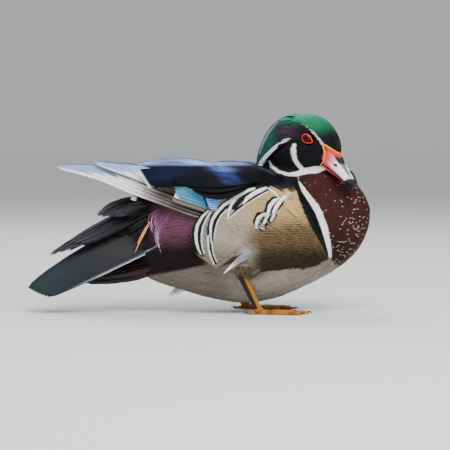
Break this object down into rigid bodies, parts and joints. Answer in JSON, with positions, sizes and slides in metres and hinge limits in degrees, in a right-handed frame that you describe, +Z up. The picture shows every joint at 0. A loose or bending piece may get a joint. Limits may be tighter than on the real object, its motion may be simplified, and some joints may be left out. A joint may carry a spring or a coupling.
{
  "type": "wood duck",
  "caption": "Life-size drake wood duck model, standing with its neck drawn in and its head turned to its right, with folded wings, a swept-back crest and a drooping tail.",
  "frame": {"origin": "centre of the bird's overall box, at the floor under its feet", "axes": "+X forward along the body to the breast, +Y to the bird's left, +Z up"},
  "size_m": [0.3453, 0.11, 0.1992],
  "materials": {
    "body_feathers": "short soft feathers, chestnut breast and grey-white belly",
    "neck_feathers": "short soft chestnut feathers",
    "head_feathers": "silky green, black and white feathers with a sheen",
    "crest_feathers": "long silky green and violet feathers with a sheen",
    "bill_upper": "smooth horn, red and pink with white sides and a black nail",
    "bill_lower": "smooth dark horn",
    "eye": "wet red-brown iris with a black pupil",
    "flank_feathers": "finely barred buff feathers edged in black and white",
    "wing_feathers": "smooth dark feathers with a blue sheen",
    "leg": "scaly ochre skin",
    "foot": "scaly ochre skin with dark webs",
    "tail_feathers": "long blackish feathers with a faint green sheen",
    "tail_covert_feathers": "soft black feathers",
    "undertail_feathers": "soft brown-black feathers"
  },
  "bodies": {
    "root": {"torso": "body_feathers", "neck": "neck_feathers", "head": "head_feathers", "crest": "crest_feathers", "bill_upper": "bill_upper", "bill_lower": "bill_lower", "eye_right": "eye", "eye_left": "eye", "flank_right": "flank_feathers", "flank_left": "flank_feathers", "wing_right": "wing_feathers", "wing_left": "wing_feathers", "leg_right": "leg", "leg_left": "leg", "foot_right": "foot", "foot_left": "foot", "tail": "tail_feathers", "tail_coverts_upper": "tail_covert_feathers", "tail_coverts_under": "undertail_feathers"}
  },
  "joints": []
}
